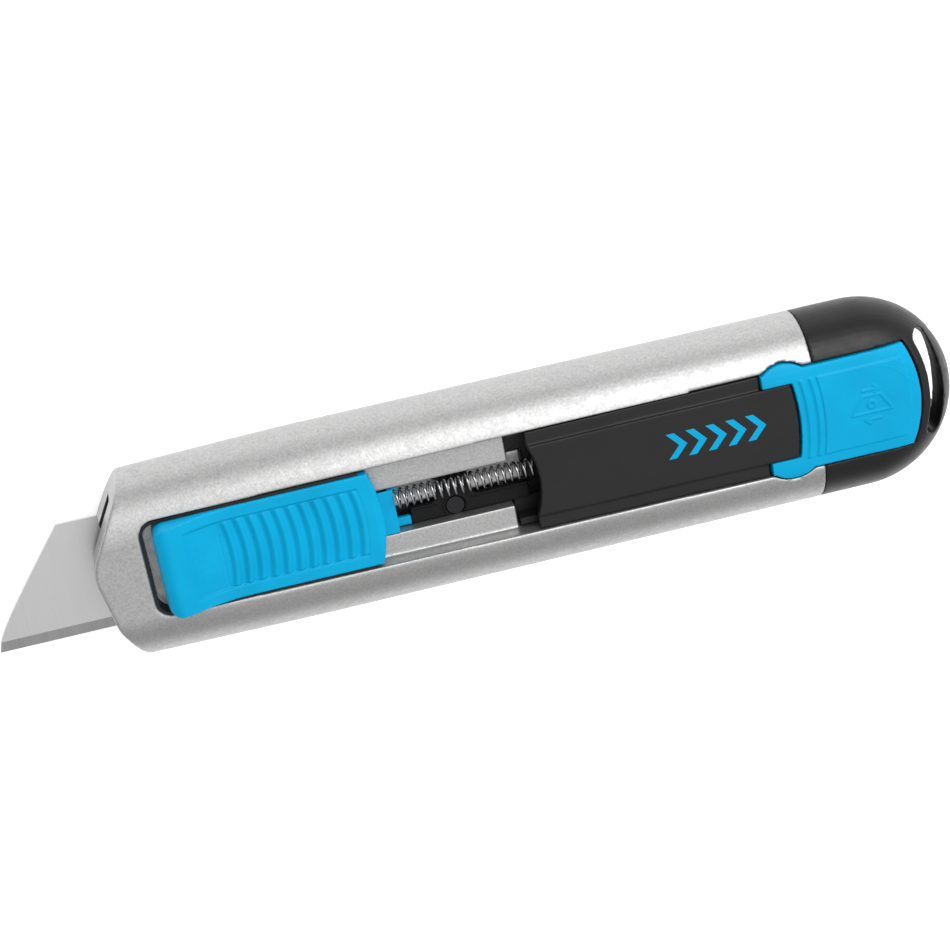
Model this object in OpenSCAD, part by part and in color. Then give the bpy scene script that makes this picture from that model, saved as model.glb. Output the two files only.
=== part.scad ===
// Retractable utility knife: aluminium handle, thumb slider with spring return, latched end cap.
// The knife lies on its back: +X points to the tail, the blade leaves towards -X, +Y is the spine
// and +Z is the face with the slider. The origin is on the back face, half way along the handle.

/* [Handle] */
// Length of the handle from the nose to the tail
handle_l = 139; // [125:1:180]
// Height of the handle from the cutting side to the spine
handle_h = 31; // [30:0.5:40]
// Thickness of the handle
handle_t = 17.5; // [17:0.5:24]
// Length of the end cap outside the housing
cap_l = 24.2; // [22:0.2:32]
// Setback of the upper nose corner from the nose
nose_top_back = 6.7; // [3:0.1:9]
// Setback of the lower nose corner from the nose
nose_low_back = 5.6; // [3:0.1:9]
// Height of the nose point above the centre line
nose_point_y = 2.4; // [-3:0.1:6]
// Narrowing of the spine at the nose
nose_taper = 0.9; // [0:0.1:2]
// Thickness of the housing below the carrier
back_wall = 2.6; // [1.6:0.1:3.4]
// Thickness of the housing beside the carrier
side_wall = 4.6; // [3:0.1:5]

/* [Channel] */
// Width of the slider channel at its front end
channel_w_front = 15.6; // [13.5:0.1:16.5]
// Width of the slider channel at the end cap
channel_w_rear = 17.1; // [15:0.1:18]
// Height of the channel's centre line above the handle's
channel_y = 0.95; // [-1:0.05:1.5]
// Depth of the ledges below the face
channel_depth = 3.3; // [2.8:0.1:3.6]
// Distance from the nose to the channel
channel_from_nose = 8.3; // [7.5:0.1:11]
// Width of the slot between the ledges
slot_w = 7.5; // [7:0.1:8.5]
// Thickness of the liner at the front of the channel
liner_t = 0.45; // [0.3:0.05:0.8]
// Length of the liner's legs
liner_l = 34; // [5:0.5:60]

/* [Slider] */
// Length of the thumb slider
slider_l = 34.8; // [32:0.2:40]
// Gap between the front of the channel and the slider
slider_gap = 1.9; // [1:0.1:3]
// Distance the slider and the blade travel
travel = 22.5; // [18:0.5:23]
// Height of the thumb lip above the face
lip_h = 3.3; // [1.5:0.1:5]
// Pitch of the thumb ribs
rib_pitch = 2; // [1.6:0.1:2.6]
// Number of thumb ribs
rib_count = 11; // [6:1:11]

/* [Blade] */
// Length of the blade's cutting edge
blade_l = 61; // [59:0.5:62]
// Height of the blade
blade_h = 18.7; // [18:0.1:19]
// Thickness of the blade
blade_t = 0.63; // [0.4:0.01:0.8]
// Length of each slanted end
blade_slant = 13; // [8:0.5:14]
// Reach of the extended blade in front of the nose
blade_out = 17; // [15:0.5:18]
// Height of the ground bevel
blade_bevel = 1.8; // [1:0.1:2.5]

/* [Springs and fasteners] */
// Outer diameter of the return spring
spring_d = 3.3; // [2.6:0.1:3.4]
// Wire diameter of the return spring
spring_wire = 0.45; // [0.35:0.05:0.5]
// Number of turns of the return spring
spring_turns = 36; // [24:1:38]
// Radius of the pins that hold the return spring
anchor_r = 0.8; // [0.6:0.05:0.9]
// Radius of the latch pin
latch_pin_r = 0.6; // [0.5:0.05:0.8]
// Radius of the cap pins
cap_pin_r = 1; // [0.8:0.1:1.5]

/* [Latch] */
// Length of the latch button
latch_l = 25.2; // [24:0.2:28]
// Reach of the latch's prongs in front of the end cap
latch_reach = 8.6; // [8:0.1:10]
// Thickness of the latch button
latch_t = 2.7; // [2:0.1:2.8]
// Radius of the latch's rear edge
latch_r = 20; // [16:0.5:26]
// Width of the lanyard slot
lanyard_w = 2.3; // [2:0.1:2.6]

/* [Hidden] */
$fn = 48;

// Clearances
run = 0.15;
side_gap = 0.12;
latch_gap = 0.3;
pin_gap = 0.05;
seat_gap = 0.02;
blade_gap = 0.08;
hook_gap = 0.4;
pocket_in = 0.06;
// How far a cut runs past what it cuts, and a join into what it joins
past = 1;
join = 0.2;

// Stations along the handle
x_nose = -handle_l / 2;
x_tail = handle_l / 2;
x_cap = x_tail - cap_l;
x_channel = x_nose + channel_from_nose;
x_slider = x_channel + slider_gap;
x_slider_end = x_slider + slider_l;
stop_gap = 2.2;
x_cover = x_slider_end + travel + stop_gap;
x_cover_front = x_cover - 1.2;
x_ledge_end = x_cover - 4.1;
x_shelf = x_slider_end + 0.1;
x_shelf_end = x_cover - 1.6;
x_latch = x_cap - latch_reach;
x_latch_end = x_latch + latch_l;
x_taper = x_nose + handle_l / 4;

// The tail is round seen from the face
cap_r = handle_h / 2;

// Levels through the thickness
z_mid = handle_t / 2;
lid_t = 0.9;
z_blade = z_mid - blade_t / 2;
z_lid = z_mid + blade_t / 2 + 0.03;
z_lid_top = z_lid + lid_t;
z_ceiling = z_lid_top + run + 0.05;
z_floor = handle_t - channel_depth;
shelf_t = 1;
tip_w = 0.4;
z_shelf = z_ceiling + shelf_t;
plate_gap = 0.1;
z_plate = z_shelf + plate_gap;
plate_t = 0.9;
z_plate_top = z_plate + plate_t;
z_spring = z_plate_top + spring_d / 2 + 0.05;
cover_t = 1.5;
z_cover = handle_t - cover_t;

// The channel's front corners, and the liner's rim below the face
channel_r = 2.5;
liner_low = 0.3;

// The cavity in which the blade carrier runs
cavity_w = handle_h - 2 * side_wall;
x_cavity = x_channel - 0.3;
mouth_t = 3.5;

// The slot between the ledges, its lower half open and its upper half over a shelf
slot_y = channel_y - 0.7;
slot_low = slot_y - slot_w / 2;
slot_high = slot_y + slot_w / 2;
stem_w = 3.1;
y_shelf = slot_low + stem_w;
y_spring = slot_high - 0.3 - spring_d / 2;
x_slot = x_slider + 3.3;

// The slider's foot, stem and spring wall
x_foot = x_slot + 1.7;
spring_wall_t = 0.9;
x_wall = x_slider_end + 1.3;
x_foot_end = x_wall + spring_wall_t;
arm_low = 2.2;
arm_high = 0.8;
x_stem = x_foot + 2;
x_stem_end = x_slider_end - 3.5;

// The blade and its carrier
x_tip = x_nose - blade_out;
y_blade = -10.1;
x_blade_mid = x_tip + blade_l / 2;
carrier_w = cavity_w - 2 * run;
x_carrier = x_cavity + 0.4;
x_carrier_end = x_slider_end + 16.5;
z_carrier = back_wall + run;
stud_r = 1.4;
notch_r = stud_r + 0.1;
notch_pitch = 19;
notch_depth = 3;
y_notch = y_blade + blade_h - notch_depth + notch_r;
// How far the screws and the stud stay above the carrier's underside
stud_up = 0.5;
screw_up = 1.5;

// The return spring and its anchors
spring_r = (spring_d - spring_wire) / 2;
x_spring = x_foot_end + 0.25;
x_spring_end = x_spring + travel + spring_turns * spring_wire + 1.6;
x_hook = x_spring - 2.9;
anchor_shift = spring_r - spring_wire / 2 - anchor_r - pin_gap;
x_anchor = x_hook - anchor_shift;
// The rear pin stands clear of the last turn
x_anchor_end = x_spring_end + anchor_r + pin_gap;
x_hook_end = x_anchor_end - anchor_shift;

// The drive plate behind the slider
x_plate_end = x_slider_end + 23.5;
x_screw = x_slider_end + 11.6;
y_screw = slot_low + stem_w / 2;
screw_r = 0.8;
screw_head_r = 1.4;
x_lid_screw = x_carrier_end - 8;
y_lid_screw = 7.5;
tenon_l = 4;
tenon_w = stem_w - 2 * run;

// The latch, which turns about a pin near its rear edge
y_latch = channel_y;
prong_w = 2;
bump_r = 5.2;
bump_rise = 1;
tip_r = 30;
side_play = 0.35;
x_bump = x_latch + 3.6;
z_latch = handle_t - 2.5;
lug_r = 1.3;
z_pivot = z_latch - 0.6;
x_pivot = x_latch_end - 3.4;
recess_z = z_pivot - lug_r - 0.1;
x_arc = x_latch_end - latch_r;
x_plate_tip = x_latch + 5.1;
latch_spring_r = 1.35;
latch_wire = 0.35;
latch_pin_l = 22;
bump_depth = 1.6;
latch_turns = 5;
x_latch_spring = x_cap + 4;
z_latch_spring = z_mid + 1;

// The end cap's spigot, tongues, pins and lanyard slot
spigot_l = 12;
x_spigot = x_cap - spigot_l;
tongue_w = 4.6;
x_carrier_back = x_carrier_end + travel;
buffer_t = 2;
x_buffer = x_carrier_back + 0.5;
x_cap_pin = x_cap - 5.8;
y_cap_pin = 6;
cap_pin_top = z_mid - 0.5;
cap_pin_up = 0.3;
bar_w = 1.7;
bar_up = 2;
lanyard_in = latch_r + latch_gap + bar_w;
lanyard_mid = lanyard_in + lanyard_w / 2;
lanyard_up = 20;
lanyard_down = -17;
lanyard_open = 3;

// Half width of the channel at a station
function channel_half(x) =
    (channel_w_front + (channel_w_rear - channel_w_front) * (x - x_channel) / (x_cap - x_channel)) / 2;

// Centre of the latch's bumps, which stand out past its straight sides
latch_half = channel_half(x_cap) - latch_gap / 2;
y_bump = latch_half + bump_rise - bump_r;

// The points that round corner b, between neighbours a and c, to radius r
function unit(v) = v / norm(v);
function rounded_corner(a, b, c, r, steps = 8) =
    let (u = unit(a - b), v = unit(c - b), half = acos(u * v) / 2,
         centre = b + unit(u + v) * r / sin(half),
         p = b + u * r / tan(half) - centre, q = b + v * r / tan(half) - centre,
         from = atan2(p[1], p[0]), turn = atan2(p[0] * q[1] - p[1] * q[0], p * q))
    [for (i = [0 : steps]) centre + r * [cos(from + turn * i / steps), sin(from + turn * i / steps)]];

// An outline whose corners are [x, y, radius]
function outline(corners) =
    [for (i = [0 : len(corners) - 1])
        let (n = len(corners), a = corners[(i + n - 1) % n], b = corners[i], c = corners[(i + 1) % n])
        each (b[2] > 0 ? rounded_corner([a[0], a[1]], [b[0], b[1]], [c[0], c[1]], b[2])
                       : [[b[0], b[1]]])];

// Points on an arc about c
function arc(c, r, from, to, steps = 16) =
    [for (i = [0 : steps]) let (a = from + (to - from) * i / steps) c + r * [cos(a), sin(a)]];

// The channel from one station to another, drawn in by a gap
function channel_outline(from, to, gap, corner = 0) = outline([
    [from, channel_y - channel_half(from) + gap, corner],
    [to, channel_y - channel_half(to) + gap, 0],
    [to, channel_y + channel_half(to) - gap, 0],
    [from, channel_y + channel_half(from) - gap, corner]]);

module prism(points, low, high) {
    translate([0, 0, low]) linear_extrude(high - low) polygon(points);
}

module block(low, high) {
    translate(low) cube(high - low);
}

// A bar along X with the handle's section: flat faces and full round edges
module bar(from, to) {
    translate([from, 0, 0]) rotate([90, 0, 90]) linear_extrude(to - from) {
        translate([(handle_t - handle_h) / 2, 0]) square([handle_h - handle_t, handle_t]);
        for (side = [-1, 1]) translate([side * (handle_h - handle_t) / 2, handle_t / 2]) circle(d = handle_t);
    }
}

// A wire swept through frames of [centre, outward, across]
module wire(frames, d, sides) {
    rings = [for (f = frames, k = [0 : sides - 1])
        f[0] + d / 2 * (cos(k * 360 / sides) * f[1] + sin(k * 360 / sides) * f[2])];
    last = (len(frames) - 1) * sides;
    polyhedron(rings, concat(
        [[for (k = [0 : sides - 1]) k]],
        [for (i = [0 : sides : last - sides], k = [0 : sides - 1])
            let (a = i + k, b = i + (k + 1) % sides)
            each [[a, a + sides, b + sides], [a, b + sides, b]]],
        [[for (k = [sides - 1 : -1 : 0]) last + k]]));
}

// Frames along a coil about +X that starts on its +Y side
function coil_frames(start, r, turns, length, steps) =
    [for (i = [0 : turns * steps])
        let (a = i * 360 / steps, out = [0, cos(a), sin(a)])
        [start + r * out + [length * i / (turns * steps), 0, 0], out, [-1, 0, 0]]];

// Frames along a ring in the plane of the face, clockwise
function ring_frames(centre, r, from, to, steps) =
    [for (i = [0 : steps])
        let (a = from + (to - from) * i / steps, out = [cos(a), sin(a), 0])
        [centre + r * out, out, [0, 0, 1]]];

// The handle seen from the face, as far as the end cap
function nose_outline() =
    let (h = handle_h / 2, clear = 0.1)
    outline([[x_cap, h + past, 0], [x_taper, h + past, 0], [x_taper, h + clear, 0],
             [x_nose + nose_top_back, h - nose_taper, 1.2], [x_nose, nose_point_y, 3],
             [x_nose + nose_low_back / 3, -h / 2, 0],
             [x_nose + nose_low_back, nose_taper / 2 - h, 0.8],
             [x_taper, -h - clear, 0], [x_taper, -h - past, 0], [x_cap, -h - past, 0]]);

module housing() color("silver") {
    difference() {
        intersection() {
            bar(x_nose - past, x_cap);
            prism(nose_outline(), -past, handle_t + past);
        }
        // The carrier's cavity and the blade's mouth
        block([x_cavity, -cavity_w / 2, back_wall], [x_cap + past, cavity_w / 2, z_ceiling]);
        block([x_nose - past, -cavity_w / 2, z_mid - mouth_t / 2],
              [x_cavity + past, cavity_w / 2, z_mid + mouth_t / 2]);
        // The channel and the slot between its ledges
        prism(channel_outline(x_channel, x_cap + past, 0, channel_r), z_floor, handle_t + past);
        block([x_slot, slot_low, z_ceiling - past], [x_ledge_end + past, y_shelf, z_floor + past]);
        block([x_slot, slot_low, z_ceiling - past], [x_shelf, slot_high, z_floor + past]);
        block([x_slot, slot_low, z_shelf], [x_ledge_end + past, slot_high, z_floor + past]);
        // The pocket for the cassette, which leaves the tip of the shelf
        difference() {
            prism(channel_outline(x_ledge_end, x_cap + past, pocket_in), z_ceiling - past, z_floor + past);
            block([x_ledge_end - past, y_shelf, z_ceiling - 2 * past],
                  [x_shelf_end, slot_high + tip_w, z_shelf]);
        }
        // Notches for the latch's bumps, and bores for the cap pins
        for (side = [-1, 1])
            translate([x_bump, y_latch + side * y_bump, z_latch - bump_depth])
                cylinder(r = bump_r + latch_gap, h = handle_t);
        cap_pin_places() translate([0, 0, -past]) cylinder(r = cap_pin_r, h = back_wall + 2 * past);
    }
}

module slide_liner() color("#202022") {
    difference() {
        prism(channel_outline(x_channel + seat_gap, x_channel + liner_l, seat_gap, channel_r),
              z_floor, handle_t - liner_low);
        prism(channel_outline(x_channel + liner_t, x_channel + liner_l + past, liner_t, channel_r - liner_t),
              z_floor - past, handle_t);
    }
}

// The cassette holds the rear end of the spring under the cover
module spring_cassette() color("#2b2b2d") {
    wall = 1.2;
    front = x_ledge_end + 0.4;
    from = x_cover - 1.1;
    to = x_latch - 0.7;
    low = z_ceiling + run;
    low_wall = 0.1;
    floor_top = z_plate - 2 * plate_gap;
    difference() {
        union() {
            prism(channel_outline(from, to, run + pocket_in), low, z_cover);
            prism(channel_outline(front, from + past, run + pocket_in + low_wall), low, z_floor - low_wall);
        }
        prism(channel_outline(front - past, to - wall, run + wall), floor_top, z_cover + past);
        // Room for the tip of the shelf
        block([front - past, y_shelf - run, low - past],
              [x_shelf_end + 2 * run, slot_high + tip_w + run, floor_top + past]);
        block([front - past, slot_low, low - past], [x_screw + travel + 2, y_shelf, floor_top + past]);
        translate([x_anchor_end, y_spring, low - past]) cylinder(r = anchor_r, h = wall + 2 * past);
    }
}

// The cover's plate runs back between the latch's prongs
module cover_insert() color("#303032") {
    flange_drop = 0.5;
    plate_in = prong_w + side_play;
    arc_r = 14;
    difference() {
        union() {
            prism(channel_outline(x_cover_front, x_latch - 0.4, run), z_cover, handle_t - flange_drop);
            prism(plate_outline(x_cover_front, plate_in), z_cover, handle_t);
        }
        // The front edge is hollow, as the slider's rear edge is round
        translate([x_cover - arc_r, channel_y, z_cover - past]) cylinder(r = arc_r, h = cover_t + 2 * past, $fn = 96);
    }
}

// The cover's raised plate, with a round rear end
function plate_outline(from, gap) =
    let (half = channel_half(x_latch) - gap, c = [x_plate_tip - tip_r, channel_y],
         a = asin(half / tip_r), front = channel_half(from) - gap)
    concat([[from, channel_y - front]], arc(c, tip_r, -a, a), [[from, channel_y + front]]);

module rear_spring_pin() color("#b9bcc0") {
    translate([x_anchor_end, y_spring, z_ceiling + run])
        cylinder(r = anchor_r, h = z_cover - z_ceiling - 2 * run);
}

// The cap's outside: the handle's section carried round the tail
module cap_shell(from = x_cap) {
    straight = x_tail - cap_r;
    bar(from, straight);
    translate([straight, 0, 0]) rotate([0, 0, -90]) rotate_extrude(angle = 180, $fn = 96) rim_profile();
}

// Half of a flat disc of the handle's thickness with a full round rim
module rim_profile() {
    edge = handle_t / 2;
    square([cap_r - edge, handle_t]);
    intersection() {
        translate([cap_r - edge, edge]) circle(r = edge);
        square([cap_r, handle_t]);
    }
}

module end_cap() color("#2a2a2c") {
    low = back_wall + run;
    half = cavity_w / 2 - run;
    difference() {
        union() {
            cap_shell();
            block([x_spigot, -half, low], [x_cap + past, half, z_lid_top]);
            for (side = [-1, 1])
                block([x_buffer + buffer_t, side * (half - tongue_w / 2) - tongue_w / 2, low],
                      [x_spigot + past, side * (half - tongue_w / 2) + tongue_w / 2, z_lid_top]);
        }
        latch_recess();
        lanyard_slot();
        translate([x_latch_spring, y_latch, z_latch_spring]) cylinder(r = latch_spring_r + 0.6, h = handle_t);
        translate([x_pivot, y_latch, z_pivot]) rotate([90, 0, 0])
            cylinder(r = latch_pin_r, h = latch_pin_l, center = true);
        cap_pin_places() translate([0, 0, low - past]) cylinder(r = cap_pin_r, h = cap_pin_top - low + past);
    }
}

module latch_recess() {
    half = channel_half(x_cap);
    r = latch_r + latch_gap;
    a = asin(half / r);
    prism(concat([[x_cap - past, y_latch - half]], arc([x_arc, y_latch], r, -a, a),
                 [[x_cap - past, y_latch + half]]), recess_z, handle_t + past);
}

// A slot that follows the latch's rear edge, for a lanyard
module lanyard_slot() {
    c = [x_arc, y_latch];
    prism(concat(arc(c, lanyard_in, lanyard_down, lanyard_up),
                 arc(c, lanyard_in + lanyard_w, lanyard_up, lanyard_down)), -past, handle_t + past);
    for (a = [lanyard_down, lanyard_up])
        translate([x_arc + lanyard_mid * cos(a), y_latch + lanyard_mid * sin(a), -past])
            cylinder(d = lanyard_w, h = handle_t + 2 * past);
    // Low down the slot is open to the tail, which leaves a bar for the cord
    prism(concat(arc(c, lanyard_mid, lanyard_down + lanyard_open, lanyard_up - lanyard_open),
                 arc(c, latch_r + cap_l, lanyard_up - lanyard_open, lanyard_down + lanyard_open)),
          -past, z_mid + bar_up);
}

module cap_pin_places() {
    for (side = [-1, 1]) translate([x_cap_pin, side * y_cap_pin, 0]) children();
}

module cap_pins() color("#a8abb0") {
    cap_pin_places() translate([0, 0, cap_pin_up]) cylinder(r = cap_pin_r, h = cap_pin_top - join - cap_pin_up);
}

module stop_buffers() color("#3a3a3a") {
    half = cavity_w / 2 - run;
    inset = 0.4;
    for (side = [-1, 1])
        block([x_buffer, side * (half - tongue_w / 2) - tongue_w / 2 + inset, back_wall + run + inset],
              [x_buffer + buffer_t, side * (half - tongue_w / 2) + tongue_w / 2 - inset, z_lid_top - inset]);
}

module latch_pin() color("#b9bcc0") {
    translate([x_pivot, y_latch, z_pivot]) rotate([90, 0, 0])
        cylinder(r = latch_pin_r, h = latch_pin_l - 2 * join, center = true);
}

module latch_spring() color("#b9bcc0") {
    length = z_latch - z_latch_spring - latch_wire - 0.05;
    translate([x_latch_spring, y_latch, z_latch_spring + latch_wire / 2]) rotate([0, -90, 0])
        wire(coil_frames([0, 0, 0], latch_spring_r, latch_turns, length, 16), latch_wire, 6);
}

// The handle's surface about the latch, raised so that the latch stands a little proud of it
module handle_form() {
    translate([0, 0, z_latch + latch_t - handle_t]) cap_shell(x_latch - past);
}

module latch_button() color("#00aee2") {
    half = latch_half;
    prong_in = channel_half(x_latch) - prong_w;
    c = [x_plate_tip + side_play - tip_r, y_latch];
    a = asin(prong_in / tip_r);
    back = asin(half / latch_r);
    difference() {
        union() {
            intersection() {
                prism(concat([[x_latch, y_latch - half + 0.2]],
                             arc([x_arc, y_latch], latch_r, -back, back),
                             [[x_latch, y_latch + half - 0.2], [x_latch, y_latch + prong_in]],
                             arc(c, tip_r, a, -a), [[x_latch, y_latch - prong_in]]),
                      z_latch, z_latch + latch_t + past);
                handle_form();
            }
            for (side = [-1, 1]) intersection() {
                handle_form();
                translate([x_bump, y_latch + side * y_bump, z_latch])
                    cylinder(r = bump_r, h = latch_t + past);
                block([x_latch, y_latch - handle_h, z_latch - past],
                      [x_latch + 2 * bump_r + 2, y_latch + handle_h, z_latch + latch_t + past]);
            }
            translate([x_pivot, y_latch, z_pivot]) rotate([90, 0, 0])
                cylinder(r = lug_r, h = 2 * half - 2, center = true);
        }
        // The bumps stay out of the space between the prongs
        prism(concat([[x_latch - past, y_latch - prong_in]], arc(c, tip_r, -a, a),
                     [[x_latch - past, y_latch + prong_in]]), z_latch - past, z_latch + latch_t + past);
        translate([x_pivot, y_latch, z_pivot]) rotate([90, 0, 0])
            cylinder(r = latch_pin_r + pin_gap, h = 2 * half + past, center = true);
    }
}

// Height of the slider's top along its length: lip, thumb dip, then a flat run to the rear
function slider_profile() =
    let (top = handle_t + 0.2, lip = handle_t + lip_h, dip = handle_t + 0.2)
    concat([[x_slider, z_floor + run], [x_slider, lip - 2.2]],
           arc([x_slider + 2, lip - 2], 2, 180, 70, 8),
           arc([x_slider + 12.6, dip + 16], 16, 242, 270, 10),
           [[x_slider_end, top - 0.2], [x_slider_end, z_floor + run]]);

module thumb_slider() color("#00aee2") {
    front_half = channel_half(x_slider) - liner_t - side_gap;
    rear_half = channel_half(x_slider_end) - liner_t - side_gap;
    rear_r = 20;
    corner = 2;
    arm_w = 1.5;
    swing = asin(rear_half / rear_r);
    ribs_from = x_slider + 10.5;
    difference() {
        union() {
            intersection() {
                prism(concat(outline([[x_slider + 8, channel_y + front_half, 0],
                                      [x_slider, channel_y + front_half, corner],
                                      [x_slider, channel_y - front_half, corner],
                                      [x_slider + 8, channel_y - front_half, 0]]),
                             arc([x_slider_end - rear_r, channel_y], rear_r, -swing, swing)), 0, 2 * handle_t);
                translate([0, handle_h / 2, 0]) rotate([90, 0, 0])
                    linear_extrude(handle_h) polygon(slider_profile());
            }
            // The foot fills the slot, and the stem reaches the carrier's lid
            block([x_foot, slot_low + run, z_plate], [x_foot_end, slot_high - run, z_floor + run + join]);
            block([x_stem, slot_low + run, z_lid_top], [x_stem_end, y_shelf - run, z_plate + past]);
            tenon_places() block([0, 0, z_lid + 0.05], [tenon_l, tenon_w, z_lid_top + join]);
            // Two arms guide the drive plate
            block([x_foot_end - past, slot_low + run, z_plate],
                  [x_foot_end + arm_low, slot_low + run + arm_w, z_plate + 1]);
            block([x_foot_end - past, slot_high - run - 0.6, z_plate + 1.6],
                  [x_foot_end + arm_high, slot_high - run, z_plate + 2.4]);
        }
        // Room for the spring's hook, and a hole for its wire
        block([x_hook - spring_d / 2 - hook_gap, y_shelf + hook_gap, z_plate_top],
              [x_wall, slot_high + past, z_floor + run / 2]);
        translate([x_wall - past, y_spring + spring_r, z_spring]) rotate([0, 90, 0])
            cylinder(r = spring_wire / 2 + hook_gap / 2, h = spring_wall_t + 2 * past);
        translate([x_anchor, y_spring, z_plate - past]) cylinder(r = anchor_r, h = past + plate_t + seat_gap);
        // Grooves between the ribs
        for (i = [0 : rib_count - 1]) rib_groove(ribs_from + i * rib_pitch, min(front_half, rear_half) - 2);
    }
}

module tenon_places() {
    for (x = [x_stem + 1, x_stem_end - tenon_l - 1]) translate([x, slot_low + run, 0]) children();
}

// A curved groove across the slider, bulging to the rear
module rib_groove(x, half) {
    r = 24;
    depth = 0.45;
    width = rib_pitch * 0.45;
    a = asin(half / r);
    prism(concat(arc([x - r, channel_y], r, -a, a, 8), arc([x - r - width, channel_y], r, a, -a, 8)),
          handle_t + 0.2 - depth, handle_t + lip_h);
}

module front_spring_pin() color("#b9bcc0") {
    translate([x_anchor, y_spring, z_plate]) cylinder(r = anchor_r, h = z_floor - z_plate);
}

// The blade seen from the face, grown by a gap
function blade_outline(gap) =
    [[x_tip - gap, y_blade - gap], [x_tip + blade_l + gap, y_blade - gap],
     [x_tip + blade_l - blade_slant + gap, y_blade + blade_h + gap],
     [x_tip + blade_slant - gap, y_blade + blade_h + gap]];

// The blade has two notches in its back, and the stud holds the rear one
module notch_places() {
    for (side = [-1, 1]) translate([x_blade_mid + side * notch_pitch / 2, y_notch, 0]) children();
}

module stud_place() {
    translate([x_blade_mid + notch_pitch / 2, y_notch, 0]) children();
}

module blade_carrier() color("#29292b") {
    difference() {
        block([x_carrier, -carrier_w / 2, z_carrier], [x_carrier_end, carrier_w / 2, z_lid - seat_gap]);
        prism(blade_outline(blade_gap), z_blade - seat_gap, z_lid + past);
        // Lightening pockets in the underside
        for (side = [-1, 1])
            block([x_carrier + 4, side * carrier_w / 4 - carrier_w / 6, z_carrier - past],
                  [x_carrier + 32, side * carrier_w / 4 + carrier_w / 6, z_blade - stud_up * 3]);
        stud_place() translate([0, 0, z_carrier - past]) cylinder(r = stud_r, h = handle_t);
        screw_bores();
    }
}

module carrier_lid() color("#2d2d2f") {
    difference() {
        block([x_carrier + 1, -carrier_w / 2 + 0.3, z_lid], [x_carrier_end, carrier_w / 2 - 0.3, z_lid_top]);
        stud_place() translate([0, 0, z_lid - past]) cylinder(r = stud_r, h = handle_t);
        tenon_places() block([0, 0, z_lid - past], [tenon_l, tenon_w, z_lid_top + past]);
        screw_bores();
    }
}

module lid_screw_places() {
    for (side = [-1, 1]) translate([x_lid_screw, side * y_lid_screw, 0]) children();
}

module screw_bores() {
    lid_screw_places() translate([0, 0, z_carrier + 1]) cylinder(r = screw_r, h = handle_t);
    translate([x_screw, y_screw, z_carrier + 1]) cylinder(r = screw_r, h = handle_t);
}

module lid_screws() color("#b0b3b8") {
    low = z_carrier + screw_up;
    lid_screw_places() translate([0, 0, low]) cylinder(r = screw_r, h = z_lid_top - low);
}

// The drive plate lies on the shelf behind the slider, and widens under the spring
module drive_plate() color("#262628") {
    half = 2.7;
    front = x_foot_end + arm_low + plate_gap;
    low = slot_low + run;
    high = slot_high - run;
    edge = y_shelf - 0.3;
    difference() {
        prism(outline([[front, low, 0], [x_plate_end, low, 0], [x_plate_end, edge, 0],
                       [x_screw + half, edge, 1], [x_screw + half, high, 0], [x_screw - half, high, 0],
                       [x_screw - half, edge, 1], [front, edge, 0]]),
              z_plate, z_plate + plate_t);
        translate([x_screw, y_screw, z_plate - past]) cylinder(r = screw_r, h = plate_t + 2 * past);
        translate([x_screw, y_screw, z_plate + plate_t / 2]) cylinder(r = screw_head_r + 0.1, h = plate_t);
    }
}

module plate_screw() color("#3c3c3f") {
    low = z_carrier + screw_up;
    z_head = z_plate + plate_t / 2;
    translate([x_screw, y_screw, low]) cylinder(r = screw_r, h = z_head - low);
    translate([x_screw, y_screw, z_head]) cylinder(r = screw_head_r, h = plate_t / 2 - pin_gap);
}

module blade_stud() color("#b0b3b8") {
    low = z_carrier + stud_up;
    stud_place() translate([0, 0, low]) cylinder(r = stud_r, h = z_lid_top - low);
}

module blade() color("#c8ccd0") {
    edge_t = 0.06;
    intersection() {
        difference() {
            prism(blade_outline(0), z_blade, z_blade + blade_t);
            notch_places() {
                translate([0, 0, z_blade - past]) cylinder(r = notch_r, h = blade_t + 2 * past);
                block([-notch_r, 0, z_blade - past], [notch_r, notch_depth, z_blade + blade_t + past]);
            }
        }
        // The ground edge
        translate([x_tip - past, 0, 0]) rotate([90, 0, 90]) linear_extrude(blade_l + 2 * past)
            polygon([[y_blade, z_mid - edge_t / 2], [y_blade + blade_bevel, z_mid - blade_t / 2 - edge_t],
                     [y_blade + blade_h + past, z_mid - blade_t / 2 - edge_t],
                     [y_blade + blade_h + past, z_mid + blade_t / 2 + edge_t],
                     [y_blade + blade_bevel, z_mid + blade_t / 2 + edge_t], [y_blade, z_mid + edge_t / 2]]);
    }
}

// A tension spring with a ring at each end, one round each anchor pin
module return_spring() color("#c5c8cc") {
    gap = 60;
    start = [x_spring, y_spring, z_spring];
    finish = [x_spring_end, y_spring, z_spring];
    side = [0, spring_r, 0];
    bend = [[0, 1, 0], [-1, 0, 1] / norm([1, 0, 1])];
    wire(concat(
        ring_frames([x_hook, y_spring, z_spring], spring_r, 450 - gap, 90, 14),
        [concat([start + side - [spring_wire / 2, 0, 0]], bend)],
        coil_frames(start, spring_r, spring_turns, x_spring_end - x_spring, 12),
        [concat([finish + side + [spring_wire / 4, 0, 0]], bend)],
        ring_frames([x_hook_end, y_spring, z_spring], spring_r, 90, gap - 270, 14)), spring_wire, 5);
}

housing();
slide_liner();
spring_cassette();
cover_insert();
rear_spring_pin();
end_cap();
cap_pins();
stop_buffers();
latch_pin();
latch_spring();
latch_button();
thumb_slider();
front_spring_pin();
blade_carrier();
carrier_lid();
lid_screws();
drive_plate();
plate_screw();
blade_stud();
blade();
return_spring();
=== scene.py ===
"""Visual model of the utility knife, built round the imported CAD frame.

Shapes are made in millimetres in the row frame (+X to the tail, +Y to the spine, +Z out of the
slider's face) and scaled to metres when each piece is finished.
"""
import math

import bmesh
import bpy
from mathutils import Matrix, Vector


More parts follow.
